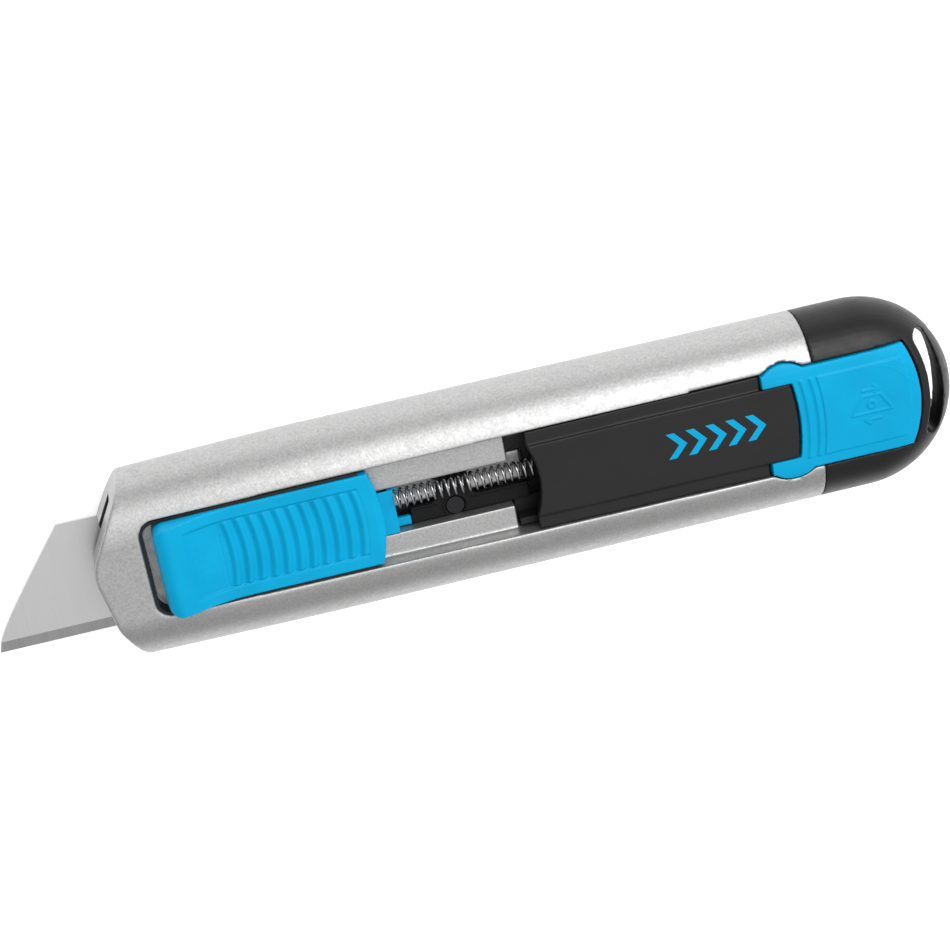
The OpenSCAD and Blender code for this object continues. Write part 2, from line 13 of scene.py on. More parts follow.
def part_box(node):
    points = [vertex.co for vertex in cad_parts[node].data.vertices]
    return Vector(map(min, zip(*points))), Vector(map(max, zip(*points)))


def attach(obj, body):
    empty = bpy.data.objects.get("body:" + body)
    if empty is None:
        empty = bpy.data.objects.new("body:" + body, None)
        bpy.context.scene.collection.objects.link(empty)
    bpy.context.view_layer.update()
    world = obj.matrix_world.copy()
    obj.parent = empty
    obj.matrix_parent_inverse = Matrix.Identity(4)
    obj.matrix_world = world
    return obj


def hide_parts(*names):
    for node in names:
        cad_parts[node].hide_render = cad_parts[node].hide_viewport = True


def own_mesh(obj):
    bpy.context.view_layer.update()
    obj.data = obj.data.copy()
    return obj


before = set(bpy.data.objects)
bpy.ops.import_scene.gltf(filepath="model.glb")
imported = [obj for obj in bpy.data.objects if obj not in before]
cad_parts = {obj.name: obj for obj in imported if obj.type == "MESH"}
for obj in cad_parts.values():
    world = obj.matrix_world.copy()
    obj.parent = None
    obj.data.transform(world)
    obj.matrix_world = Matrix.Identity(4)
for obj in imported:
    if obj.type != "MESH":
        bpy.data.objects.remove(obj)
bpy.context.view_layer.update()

MM = 0.001


def span(node):
    """A CAD node's lowest and highest corners, in millimetres."""
    return [Vector(corner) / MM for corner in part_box(node)]


# ---------------------------------------------------------------- stations and levels
hull_low, hull_high = span("housing")
tail_low, _ = span("end_cap")
slider_low, slider_high = span("thumb_slider")
latch_low, latch_high = span("latch_button")
cover_low, _ = span("cover_insert")
blade_low, blade_high = span("blade")
spring_low, spring_high = span("return_spring")
liner_low, _ = span("slide_liner")
_, lid_high = span("carrier_lid")
plate_low, plate_high = span("drive_plate")

NOSE = hull_low.x
CAP = hull_high.x
TAIL = -NOSE
HALF_H = hull_high.y
FACE = hull_high.z
MID = FACE / 2

CHANNEL_Y = 0.95
CHANNEL_DEPTH = 3.3
FLOOR = FACE - CHANNEL_DEPTH
CHANNEL_FRONT = liner_low.x
FRONT_HALF = 7.8
REAR_HALF = 8.55
CEILING = lid_high.z + 0.2
SHELF = CEILING + 1.0
SLOT_LOW = -3.5
SLOT_HIGH = 4.0
SHELF_Y = SLOT_LOW + 3.1
CAVITY_HALF = 10.9
BACK_WALL = 2.6
MOUTH_T = 3.5
COVER_FRONT = cover_low.x + 1.2
LEDGE_END = COVER_FRONT - 4.1
SHELF_FRONT = COVER_FRONT - 24.6
SHELF_END = COVER_FRONT - 1.6
SLOT_FRONT = CHANNEL_FRONT + 5.2
TAPER_FROM = NOSE + (TAIL - NOSE) / 4
SPINE_TAPER = 0.9
BELLY_TAPER = 0.45

LATCH_FRONT = latch_low.x
LATCH_END = latch_high.x
LATCH_Z = FACE - 2.5
LATCH_TOP = latch_high.z
BUMP_R = 5.2
BUMP_Y = 4.2
BUMP_X = LATCH_FRONT + 3.6
PRONG_IN = 6.25
PLATE_TIP = LATCH_FRONT + 5.1
LATCH_R = 20.0
ARC_X = LATCH_END - LATCH_R
RECESS_Z = FACE - 4.5
LANYARD_IN = LATCH_R + 2.0
LANYARD_W = 2.3
LANYARD_FROM, LANYARD_TO = -17, 20
TAIL_R = HALF_H

CAP_PIN_IN = 5.8
CAP_PIN_Y = 6.0
NOTCH_APART = 9.5
MARKS_AT = (COVER_FRONT + 28.4, 1.5)

PAST = 1.0


def channel_half(x):
    """Half the channel's width at a station: it has the draft of a casting."""
    return FRONT_HALF + (REAR_HALF - FRONT_HALF) * (x - CHANNEL_FRONT) / (CAP - CHANNEL_FRONT)


# ---------------------------------------------------------------- outlines
def arc(cx, cy, r, start, stop, steps=24):
    """Points on an arc, angles in degrees."""
    angles = [math.radians(start + (stop - start) * i / steps) for i in range(steps + 1)]
    return [(cx + r * math.cos(a), cy + r * math.sin(a)) for a in angles]


def rounded(corners, steps=12):
    """An outline from corners (x, y, radius)."""
    points = []
    count = len(corners)
    for i, (x, y, r) in enumerate(corners):
        here = Vector((x, y))
        if r <= 0:
            points.append((x, y))
            continue
        u = (Vector(corners[i - 1][:2]) - here).normalized()
        v = (Vector(corners[(i + 1) % count][:2]) - here).normalized()
        half = math.acos(max(-1, min(1, u.dot(v)))) / 2
        centre = here + (u + v).normalized() * (r / math.sin(half))
        p = here + u * (r / math.tan(half)) - centre
        q = here + v * (r / math.tan(half)) - centre
        first = math.atan2(p.y, p.x)
        turn = math.atan2(p.x * q.y - p.y * q.x, p.dot(q))
        for k in range(steps + 1):
            a = first + turn * k / steps
            points.append((centre.x + r * math.cos(a), centre.y + r * math.sin(a)))
    return points


def channel_outline(start, stop, gap, corner=0.0):
    """The channel between two stations, drawn in by a gap."""
    a, b = channel_half(start) - gap, channel_half(stop) - gap
    return rounded([(start, CHANNEL_Y - a, corner), (stop, CHANNEL_Y - b, 0),
                    (stop, CHANNEL_Y + b, 0), (start, CHANNEL_Y + a, corner)])


# ---------------------------------------------------------------- mesh tools
def make(name, vertices, faces):
    """A mesh object in millimetres."""
    mesh = bpy.data.meshes.new(name)
    mesh.from_pydata(vertices, [], faces)
    mesh.update()
    obj = bpy.data.objects.new(name, mesh)
    bpy.context.scene.collection.objects.link(obj)
    return obj


def loft(name, rings):
    """A closed skin over rings of equal count."""
    n = len(rings[0])
    vertices = [p for ring in rings for p in ring]
    faces = [[i * n + k, i * n + (k + 1) % n, (i + 1) * n + (k + 1) % n, (i + 1) * n + k]
             for i in range(len(rings) - 1) for k in range(n)]
    faces.append(list(range(n))[::-1])
    faces.append([(len(rings) - 1) * n + k for k in range(n)])
    return make(name, vertices, faces)


def area(points):
    """Signed area of an outline."""
    return sum(p[0] * q[1] - q[0] * p[1] for p, q in zip(points, points[1:] + points[:1])) / 2


def prism(points, low, high, name="tool"):
    """An outline of the face carried from one level to another."""
    if area(points) < 0:
        points = points[::-1]
    return loft(name, [[(x, y, z) for x, y in points] for z in (low, high)])


def side_prism(points, low, high, name="tool"):
    """An outline of X and Z carried from one Y to another."""
    if area(points) > 0:
        points = points[::-1]
    return loft(name, [[(x, y, z) for x, z in points] for y in (low, high)])


def block(low, high):
    """A box between two corners."""
    corners = [(low[0], low[1]), (high[0], low[1]), (high[0], high[1]), (low[0], high[1])]
    return prism(corners, low[2], high[2])


def post(x, y, r, low, high):
    """An upright cylinder."""
    return prism(arc(x, y, r, 0, 360 - 360 / 64, 63), low, high)


def bar_ring(x, top, bottom, steps=40):
    """The handle's section at a station: flat faces and full round edges."""
    ring = []
    for centre, start in ((top - MID, -90), (bottom + MID, 90)):
        for y, z in arc(centre, MID, MID, start, start + 180, steps):
            ring.append((x, y, z))
    return ring


def settle(obj):
    """Replace a mesh by what its modifiers make of it."""
    graph = bpy.context.evaluated_depsgraph_get()
    mesh = bpy.data.meshes.new_from_object(obj.evaluated_get(graph))
    obj.modifiers.clear()
    obj.data = mesh
    return obj


def combine(obj, tools, operation):
    """Cut, join or trim with a list of tools, which are used up."""
    for tool in tools:
        step = obj.modifiers.new("combine", "BOOLEAN")
        step.operation = operation
        step.solver = "EXACT"
        step.object = tool
    settle(obj)
    for tool in tools:
        bpy.data.objects.remove(tool)
    return obj


def soften(obj, voxel, passes):
    """Even out a solid's mesh and round its edges a little."""
    grid = obj.modifiers.new("grid", "REMESH")
    grid.mode = "VOXEL"
    grid.voxel_size = voxel
    grid.use_smooth_shade = True
    smooth = obj.modifiers.new("smooth", "SMOOTH")
    smooth.factor = 0.5
    smooth.iterations = passes
    return settle(obj)


def lift(obj, height, facing=0.5):
    """Move the face's points along Z by height(x, y)."""
    mesh = obj.data
    mesh.update()
    for vertex in mesh.vertices:
        if vertex.normal.z > facing:
            vertex.co.z += height(vertex.co.x, vertex.co.y) * vertex.normal.z
    mesh.update()
    return obj


def finish(obj, name, body, material, replaced=()):
    """Scale a piece to metres, and give it its name, body, slot and material."""
    obj.name = name
    obj.data.name = name
    obj.data.transform(Matrix.Scale(MM, 4))
    obj.data.materials.clear()
    obj.data.materials.append(material)
    count = len(obj.data.polygons)
    obj.data.polygons.foreach_set("use_smooth", [True] * count)
    obj.data.polygons.foreach_set("material_index", [0] * count)
    obj.data.update()
    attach(obj, body)
    if replaced:
        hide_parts(*replaced)
    return obj


def ramp(value, start, stop):
    """Smooth step from 0 at start to 1 at stop."""
    t = max(0.0, min(1.0, (value - start) / (stop - start)))
    return t * t * (3 - 2 * t)


# ---------------------------------------------------------------- materials
class Shader:
    """A Principled material with helpers for procedural detail."""

    def __init__(self, name, colour, roughness, metallic=0.0, **sockets):
        self.material = bpy.data.materials.new(name)
        self.material.use_nodes = True
        self.tree = self.material.node_tree
        self.bsdf = self.tree.nodes["Principled BSDF"]
        self.set("Base Color", (*colour, 1))
        self.set("Roughness", roughness)
        self.set("Metallic", metallic)
        for socket, value in sockets.items():
            self.set(socket.replace("_", " "), value)
        self.place = self.tree.nodes.new("ShaderNodeTexCoord").outputs["Object"]
        self.colour = colour
        self.roughness = roughness
        self.normal = None

    def set(self, socket, value):
        self.bsdf.inputs[socket].default_value = value

    def link(self, source, target):
        self.tree.links.new(source, target)

    def stretched(self, scale):
        """The object's coordinates stretched along its axes."""
        mapping = self.tree.nodes.new("ShaderNodeMapping")
        mapping.inputs["Scale"].default_value = scale
        self.link(self.place, mapping.inputs["Vector"])
        return mapping.outputs["Vector"]

    def noise(self, scale, detail=2.0, rough=0.5, place=None):
        node = self.tree.nodes.new("ShaderNodeTexNoise")
        node.inputs["Scale"].default_value = scale
        node.inputs["Detail"].default_value = detail
        node.inputs["Roughness"].default_value = rough
        self.link(place or self.place, node.inputs["Vector"])
        return node.outputs["Fac"]

    def spread(self, source, low, high):
        """Map a 0.3 to 0.7 noise on to low to high."""
        node = self.tree.nodes.new("ShaderNodeMapRange")
        for socket, value in (("From Min", 0.3), ("From Max", 0.7), ("To Min", low), ("To Max", high)):
            node.inputs[socket].default_value = value
        self.link(source, node.inputs["Value"])
        return node.outputs["Result"]

    def tint(self, source, dark, light):
        """Vary the base colour between two shares of it."""
        mix = self.tree.nodes.new("ShaderNodeMix")
        mix.data_type = "RGBA"
        mix.inputs["A"].default_value = (*[c * dark for c in self.colour], 1)
        mix.inputs["B"].default_value = (*[min(1, c * light) for c in self.colour], 1)
        self.link(self.spread(source, 0, 1), mix.inputs["Factor"])
        self.link(mix.outputs["Result"], self.bsdf.inputs["Base Color"])

    def vary_roughness(self, source, low, high):
        self.link(self.spread(source, low, high), self.bsdf.inputs["Roughness"])

    def bump(self, source, depth, strength=1.0):
        """Add relief, its depth in metres."""
        node = self.tree.nodes.new("ShaderNodeBump")
        node.inputs["Distance"].default_value = depth
        node.inputs["Strength"].default_value = strength
        self.link(source, node.inputs["Height"])
        if self.normal:
            self.link(self.normal, node.inputs["Normal"])
        self.normal = node.outputs["Normal"]
        self.link(self.normal, self.bsdf.inputs["Normal"])


def blasted_aluminium():
    """Bead-blasted casting: fine bright grain on a satin ground."""
    s = Shader("blasted_aluminium", (0.41, 0.41, 0.408), 0.41, 0.92)
    grain = s.noise(2600, 3, 0.65)
    s.tint(grain, 0.84, 1.14)
    s.vary_roughness(s.noise(900, 2), 0.40, 0.52)
    s.bump(grain, 0.00008, 0.4)
    s.bump(s.noise(420, 2), 0.00005, 0.25)
    return s.material


def painted_shade_inside():
    """Painted shade: a near-black colour for the shaded cast wall inside the handle's mouth and cavity.
    """
    s = Shader("painted_shade_inner_wall", (0.03, 0.03, 0.03), 0.6, 0.5)
    s.tint(s.noise(2400, 3), 0.85, 1.1)
    return s.material


def plastic(name, colour, roughness, grain, depth, gloss=0.5):
    """Moulded plastic with a fine spark-eroded grain."""
    s = Shader(name, colour, roughness, 0.0, Specular_IOR_Level=gloss)
    s.tint(s.noise(140, 3), 0.94, 1.06)
    s.vary_roughness(s.noise(700, 2), roughness - 0.04, roughness + 0.05)
    s.bump(s.noise(grain, 2), depth, 0.35)
    return s.material


def steel(name, colour, roughness, stretch, depth, streak=0.06):
    """Metal with fine lines across its length."""
    s = Shader(name, colour, roughness, 1.0)
    lines = s.noise(1.0, 3, 0.6, s.stretched(stretch))
    s.tint(lines, 1 - streak, 1 + streak)
    s.vary_roughness(lines, roughness - streak, roughness + streak)
    s.bump(lines, depth, 0.3)
    return s.material


ALUMINIUM = blasted_aluminium()
PAINTED_SHADE_INSIDE = painted_shade_inside()
BLUE = plastic("blue_plastic", (0.0, 0.31, 0.55), 0.36, 5200, 0.000012, 0.1)
BLACK = plastic("black_plastic", (0.011, 0.011, 0.0115), 0.42, 4200, 0.00003, 0.24)
CAP_BLACK = plastic("cap_plastic", (0.010, 0.010, 0.0105), 0.37, 3600, 0.00003, 0.22)
PLATE_BLACK = plastic("plate_plastic", (0.006, 0.006, 0.0065), 0.45, 4200, 0.00003, 0.14)
RUBBER = plastic("buffer_rubber", (0.03, 0.03, 0.03), 0.75, 2500, 0.00004, 0.3)
SPRING_STEEL = steel("spring_steel", (0.36, 0.36, 0.37), 0.15, (900, 900, 900), 0.000004)
PIN_STEEL = steel("pin_steel", (0.62, 0.63, 0.65), 0.28, (1500, 1500, 1500), 0.000006)
DARK_STEEL = steel("dark_steel", (0.03, 0.03, 0.032), 0.45, (1500, 1500, 1500), 0.00001)
BLADE_STEEL = steel("blade_steel", (0.55, 0.55, 0.55), 0.38, (2600, 90, 90), 0.0000004, 0.02)
BEVEL_STEEL = steel("ground_steel", (0.42, 0.42, 0.422), 0.40, (4000, 60, 60), 0.000002)


# ---------------------------------------------------------------- pieces
def nose_outline():
    """The handle seen from the face, from the nose to the end cap."""
    top, bottom = HALF_H - SPINE_TAPER, BELLY_TAPER - HALF_H
    wide = HALF_H + 2
    return rounded([(CAP, wide, 0), (NOSE + 7.6, wide, 0), (NOSE + 7.0, top + 0.5, 1.6),
                    (NOSE, 2.4, 7.0), (NOSE + 1.9, -HALF_H / 2, 9.0),
                    (NOSE + 5.7, bottom - 0.4, 1.0), (NOSE + 6.6, -wide, 0), (CAP, -wide, 0)])


def taper(x):
    """Share of the nose's narrowing that a station has."""
    return max(0.0, (TAPER_FROM - x) / (TAPER_FROM - NOSE)) ** 1.3


def build_housing():
    stations = [NOSE - PAST + i * (TAPER_FROM - NOSE + PAST) / 24 for i in range(25)]
    stations += [TAPER_FROM + i * (CAP - TAPER_FROM) / 4 for i in range(1, 5)]
    rings = [bar_ring(x, HALF_H - SPINE_TAPER * taper(x), BELLY_TAPER * taper(x) - HALF_H)
             for x in stations]
    body = loft("housing_shell", rings)
    combine(body, [prism(nose_outline(), -PAST, FACE + PAST)], "INTERSECT")
    back = CAP + PAST
    cuts = [
        block((CHANNEL_FRONT - 0.3, -CAVITY_HALF, BACK_WALL), (back, CAVITY_HALF, CEILING)),
        block((NOSE - PAST, -CAVITY_HALF, MID - MOUTH_T / 2),
              (CHANNEL_FRONT, CAVITY_HALF, MID + MOUTH_T / 2)),
        prism(channel_outline(CHANNEL_FRONT, back, 0, 2.5), FLOOR, FACE + PAST),
        block((SLOT_FRONT, SLOT_LOW, CEILING - PAST), (LEDGE_END + PAST, SHELF_Y, FLOOR + 0.5)),
        block((SLOT_FRONT, SLOT_LOW + 0.01, CEILING - PAST), (SHELF_FRONT, SLOT_HIGH, FLOOR + 0.6)),
        block((SLOT_FRONT + 0.1, SLOT_LOW + 0.02, SHELF),
              (LEDGE_END + PAST, SLOT_HIGH - 0.01, FLOOR + 0.7)),
        prism(rounded([(LEDGE_END, CHANNEL_Y - 8.3, 0), (LEDGE_END, SLOT_LOW + 0.6, 0),
                       (LEDGE_END, SHELF_Y, 0), (back, SHELF_Y, 0), (back, CHANNEL_Y - 8.45, 0)]),
              CEILING - PAST, FLOOR + 0.8),
        prism([(LEDGE_END, SHELF_Y - 0.1), (back, SHELF_Y - 0.1), (back, CHANNEL_Y + 8.45),
               (LEDGE_END, CHANNEL_Y + 8.3)], SHELF, FLOOR + 0.9),
        prism([(LEDGE_END + 0.01, SLOT_HIGH + 0.4), (back, SLOT_HIGH + 0.4), (back, CHANNEL_Y + 8.43),
               (LEDGE_END + 0.01, CHANNEL_Y + 8.28)], CEILING - PAST, SHELF + 0.9),
        prism([(SHELF_END, SHELF_Y - 0.2), (back, SHELF_Y - 0.2), (back, CHANNEL_Y + 8.4),
               (SHELF_END, CHANNEL_Y + 8.3)], CEILING - PAST, SHELF + 1),
    ]
    for side in (-1, 1):
        cuts.append(post(BUMP_X, CHANNEL_Y + side * BUMP_Y, BUMP_R + 0.25,
                         LATCH_Z - 1.6, FACE + 2 * PAST))
        cuts.append(post(CAP - CAP_PIN_IN, side * CAP_PIN_Y, 1.02, -PAST, BACK_WALL + PAST))
    for cut in cuts:
        combine(body, [cut], "DIFFERENCE")
    soften(body, 0.24, 5)
    finish(body, "housing_shell", "handle", ALUMINIUM, ["housing"])
    # Painted shade: the inside of the mouth and of the cavity gets a near-black material for the shade
    # that falls there
    body.data.materials.append(PAINTED_SHADE_INSIDE)
    low, high = (MID - MOUTH_T / 2 - 0.15) * MM, (MID + MOUTH_T / 2 + 0.15) * MM
    for polygon in body.data.polygons:
        x, y, z = polygon.center
        if x > (NOSE + 0.35) * MM and abs(y) < (CAVITY_HALF + 0.15) * MM and low < z < high:
            polygon.material_index = 1


def tail_form(name, start, rise=0.0):
    """The handle's section carried from a station back round the tail."""
    straight = TAIL - TAIL_R
    path = [(start, HALF_H, 90)]
    for side, first in ((1, 90), (-1, 0)):
        for i in range(31):
            angle = first - 3 * i
            path.append((straight + TAIL_R * math.cos(math.radians(angle)),
                         side * (HALF_H - TAIL_R) + TAIL_R * math.sin(math.radians(angle)), angle))
    path.append((start, -HALF_H, -90))
    steps = 28
    rings = []
    for x, y, angle in path:
        nx, ny = math.cos(math.radians(angle)), math.sin(math.radians(angle))
        ring = []
        for i in range(steps + 1):
            phi = math.radians(-90 + 180 * i / steps)
            inward = MID - MID * math.cos(phi)
            ring.append((x - nx * inward, y - ny * inward, MID + rise + MID * math.sin(phi)))
        rings.append(ring)
    count = steps + 1
    vertices = [p for ring in rings for p in ring]
    faces = [[i * count + k, (i + 1) * count + k, (i + 1) * count + k + 1, i * count + k + 1]
             for i in range(len(rings) - 1) for k in range(steps)]
    last = len(rings) - 1
    faces.append([i * count for i in range(len(rings))][::-1])
    faces.append([i * count + steps for i in range(len(rings))])
    faces.append([k for k in range(count)] + [last * count + k for k in range(count)][::-1])
    form = make(name, vertices, faces)
    tidy_normals(form)
    return form


def build_cap():
    """The end cap with its recess, lanyard slot, spigot and tongues."""
    shell = tail_form("end_cap_shell", CAP + 0.02)
    inner = CAVITY_HALF - 0.15
    low = BACK_WALL + 0.15
    tools = [block((CAP - 12, -inner, low), (CAP + 3, inner, lid_high.z))]
    for side in (-1, 1):
        y = side * (inner - 2.3)
        tools.append(block((tail_low.x, y - 2.3, low + 0.01),
                           (CAP - 11, y + 2.3, lid_high.z - 0.01)))
    for tool in tools:
        combine(shell, [tool], "UNION")
    half = channel_half(CAP)
    r = LATCH_R + 0.35
    a = math.degrees(math.asin((half + 0.02) / r))
    combine(shell, [prism([(CAP - PAST, CHANNEL_Y - half), *arc(ARC_X, CHANNEL_Y, r, -a, a),
                           (CAP - PAST, CHANNEL_Y + half)], RECESS_Z, FACE + PAST)], "DIFFERENCE")
    combine(shell, [lanyard_tool()], "DIFFERENCE")
    middle = LANYARD_IN + LANYARD_W / 2
    below = arc(ARC_X, CHANNEL_Y, middle, LANYARD_FROM + 3, LANYARD_TO - 3)
    below += arc(ARC_X, CHANNEL_Y, middle + HALF_H, LANYARD_TO - 3, LANYARD_FROM + 3)
    combine(shell, [prism(below, -PAST, MID + 2.0)], "DIFFERENCE")
    combine(shell, [post(CAP + 4, CHANNEL_Y, 1.95, MID + 1, FACE)], "DIFFERENCE")
    soften(shell, 0.22, 5)
    return finish(shell, "end_cap_shell", "handle", CAP_BLACK, ["end_cap"])


def lanyard_tool():
    """The slot's band with round ends, a little wider at the face."""
    middle = LANYARD_IN + LANYARD_W / 2
    rings = []
    for level, flare in ((-PAST, 0), (FACE - 4.2, 0), (FACE - 2.2, 0.18), (FACE + PAST, 0.18)):
        wide = LANYARD_W / 2 + flare
        ring = arc(ARC_X, CHANNEL_Y, middle - wide, LANYARD_FROM, LANYARD_TO, 30)
        for end, turn in ((LANYARD_TO, 180), (LANYARD_FROM, 0)):
            cx = ARC_X + middle * math.cos(math.radians(end))
            cy = CHANNEL_Y + middle * math.sin(math.radians(end))
            ring += arc(cx, cy, wide, end + turn, end + turn - 180, 12)[1:-1]
            if end == LANYARD_TO:
                ring += arc(ARC_X, CHANNEL_Y, middle + wide, LANYARD_TO, LANYARD_FROM, 30)
        rings.append([(x, y, level) for x, y in ring[::-1]])
    tool = loft("tool", rings)
    tidy_normals(tool)
    return tool


def tidy_normals(obj):
    """Point every face outwards."""
    work = bmesh.new()
    work.from_mesh(obj.data)
    bmesh.ops.recalc_face_normals(work, faces=work.faces)
    work.to_mesh(obj.data)
    work.free()


def build_slider():
    """The thumb slider: raised lip, hollow thumb rest and curved ribs."""
    front, rear = slider_low.x, SHELF_FRONT - 0.1
    half_front = channel_half(front) - 0.55
    half_rear = channel_half(rear) - 0.57
    rear_r = 20.0
    a = math.degrees(math.asin(half_rear / rear_r))
    plan = rounded([(front + 8, CHANNEL_Y + half_front + 0.14, 0), (front, CHANNEL_Y + half_front, 2.0),
                    (front, CHANNEL_Y - half_front, 2.0), (front + 8, CHANNEL_Y - half_front - 0.14, 0)])
    plan += arc(rear - rear_r, CHANNEL_Y, rear_r, -a, a, 40)
    lip = slider_high.z
    top = FACE + 0.2
    profile = [(front - 0.01, FLOOR + 0.15), (front - 0.01, lip - 2.3)]
    profile += arc(front + 2.0, lip - 2.02, 2.02, 178, 76, 14)
    profile += arc(front + 12.8, top + 16.0, 16.0, 240, 270, 20)
    profile += [(rear - 1.2, top), (rear, top - 0.5), (rear, FLOOR + 0.15)]
    body = prism(plan, FLOOR, lip + PAST, "thumb_slider_pad")
    combine(body, [side_prism(profile, -HALF_H, HALF_H)], "INTERSECT")
    wall = rear + 1.3
    low = SHELF + 0.1
    tools = [
        block((SLOT_FRONT + 1.7, SLOT_LOW + 0.15, low), (wall + 0.9, SLOT_HIGH - 0.15, FLOOR + 0.4)),
        block((SLOT_FRONT + 3.7, SLOT_LOW + 0.16, lid_high.z), (rear - 3.5, SHELF_Y - 0.15, low + 0.5)),
        block((wall, SLOT_LOW + 0.17, low + 0.01), (wall + 3.1, SLOT_LOW + 1.65, low + 1.0)),
        block((wall, SLOT_HIGH - 0.75, low + 1.6), (wall + 1.7, SLOT_HIGH - 0.16, low + 2.4)),
    ]
    for tool in tools:
        combine(body, [tool], "UNION")
    hook_room = block((spring_low.x - 0.3, SHELF_Y + 0.4, low + 0.9),
                      (wall, SLOT_HIGH + PAST, FLOOR + 0.08))
    combine(body, [hook_room], "DIFFERENCE")
    soften(body, 0.15, 4)
    pitch, count, r = 2.0, 11, 24.0
    first = front + 10.5
    inset = half_front - 1.75
    scoop_end = first + count * pitch - 0.5

    def ribs(x, y):
        off = y - CHANNEL_Y
        bow = x - (math.sqrt(max(0.0, r * r - off * off)) - r)
        side = ramp(abs(off), inset + 0.12, inset - 0.12)
        scoop = side * ramp(x, front + 4.2, front + 5.4) * ramp(bow, scoop_end + 0.15, scoop_end - 0.15)
        wave = 0.5 - 0.5 * math.cos(2 * math.pi * (bow - first) / pitch)
        ridge = ramp(bow, first - 0.3, first + 0.3) * ramp(abs(off), inset, inset - 0.3)
        return scoop * (0.62 * ridge * wave ** 0.8 - 0.5)

    lift(body, ribs)
    return finish(body, "thumb_slider_pad", "slider", BLUE, ["thumb_slider"])


def stroke(x, y, a, b):
    """Distance from a point to the line between a and b."""
    ax, ay = a
    dx, dy = b[0] - ax, b[1] - ay
    t = max(0.0, min(1.0, ((x - ax) * dx + (y - ay) * dy) / (dx * dx + dy * dy)))
    return math.hypot(x - ax - t * dx, y - ay - t * dy)


def pictogram():
    """Lines of a plain blade-change sign: a trapezoid blade, its hole and two arrows."""
    cx, cy = LATCH_END - 8.2, CHANNEL_Y
    outer = [(cx + x, cy + y) for x, y in ((-3.3, -1.3), (3.3, -1.3), (1.5, 1.5), (-1.5, 1.5))]
    lines = [(outer[i - 1], outer[i]) for i in range(len(outer))]
    for side in (-1, 1):
        y = cy + side * 2.45
        tip = cx + side * 1.3
        lines.append(((cx - 1.3, y), (cx + 1.3, y)))
        lines += [((tip, y), (tip - side * 0.7, y + dy)) for dy in (-0.6, 0.6)]
    return lines, (cx, cy)


def build_latch():
    half = channel_half(CAP) - 0.15
    back = math.degrees(math.asin(half / LATCH_R))
    arc_r = 30.0
    tip_x = PLATE_TIP + 0.35 - arc_r
    a = math.degrees(math.asin(PRONG_IN / arc_r))
    plan = [(LATCH_FRONT, CHANNEL_Y - half + 0.15), *arc(ARC_X, CHANNEL_Y, LATCH_R, -back, back, 40),
            (LATCH_FRONT, CHANNEL_Y + half - 0.15), (LATCH_FRONT, CHANNEL_Y + PRONG_IN),
            *arc(tip_x, CHANNEL_Y, arc_r, a, -a, 30), (LATCH_FRONT, CHANNEL_Y - PRONG_IN)]
    body = prism(plan, LATCH_Z, LATCH_TOP + PAST, "latch_pad")
    for side in (-1, 1):
        bump = post(BUMP_X, CHANNEL_Y + side * BUMP_Y, BUMP_R, LATCH_Z + 0.01,
                    LATCH_TOP + PAST - 0.01)
        inner, outer = sorted((CHANNEL_Y + side * PRONG_IN, CHANNEL_Y + side * (PRONG_IN + 6)))
        keep = block((LATCH_FRONT, inner, LATCH_Z), (LATCH_FRONT + 9, outer, LATCH_TOP + PAST))
        combine(bump, [keep], "INTERSECT")
        combine(body, [bump], "UNION")
    # Its top follows the handle's surface, a little proud of it
    combine(body, [tail_form("tool", LATCH_FRONT - PAST, LATCH_TOP - FACE)], "INTERSECT")
    pin_low, pin_high = span("latch_pin")
    lug = 1.3
    barrel_x = (pin_low.x + pin_high.x) / 2
    barrel_z = (pin_low.z + pin_high.z) / 2
    barrel = side_prism(arc(barrel_x, barrel_z, lug, 0, 354, 59),
                        CHANNEL_Y - half + 1, CHANNEL_Y + half - 1)
    combine(body, [barrel], "UNION")
    soften(body, 0.13, 4)
    lines, hole = pictogram()
    field = half - 1.9

    def relief(x, y):
        off = y - CHANNEL_Y
        front = math.sqrt(max(0.0, 900 - off * off)) - 30
        along = x - front - (PLATE_TIP + 0.35)
        rear = math.sqrt(LATCH_R ** 2 - off * off) - LATCH_R
        edge = LATCH_END + rear - x
        raised = ramp(abs(off), field + 0.12, field - 0.08)
        raised *= ramp(along, 3.8, 4.0) * ramp(edge, 1.5, 1.7)
        ridges = sum(math.exp(-((along - c) / 0.34) ** 2) for c in (1.4, 3.0))
        ridges *= ramp(abs(off), field + 0.15, field - 0.1)
        height = 0.24 * raised + 0.34 * ridges * ramp(x, LATCH_FRONT + 4, LATCH_FRONT + 4.6)
        near = min(stroke(x, y, p, q) for p, q in lines) if abs(x - hole[0]) < 5 else 9
        ring = abs(math.hypot(x - hole[0], y - hole[1]) - 0.55)
        return height + 0.2 * ramp(min(near, ring), 0.30, 0.12)

    lift(body, relief)
    return finish(body, "latch_pad", "latch", BLUE, ["latch_button"])


def build_cover():
    """The cover: two flanges, a raised plate with a round tail, and a hollow front edge."""
    gap = 0.15
    drop = 0.5
    front = cover_low.x
    z = cover_low.z
    end = LATCH_FRONT - 0.35
    body = prism(channel_outline(front, end, gap), z, FACE - drop, "cover_plate")
    inset = 2.35
    half = channel_half(LATCH_FRONT) - inset
    r = 30.0
    a = math.degrees(math.asin(half / r))
    wide_front = channel_half(front) - inset
    plate = [(front, CHANNEL_Y - wide_front), *arc(PLATE_TIP - r, CHANNEL_Y, r, -a, a, 30),
             (front, CHANNEL_Y + wide_front)]
    combine(body, [prism(plate, z + 0.01, FACE)], "UNION")
    combine(body, [post(COVER_FRONT - 14, CHANNEL_Y, 14, z - PAST, FACE + PAST)], "DIFFERENCE")
    soften(body, 0.16, 4)
    return finish(body, "cover_plate", "handle", BLACK, ["cover_insert"])


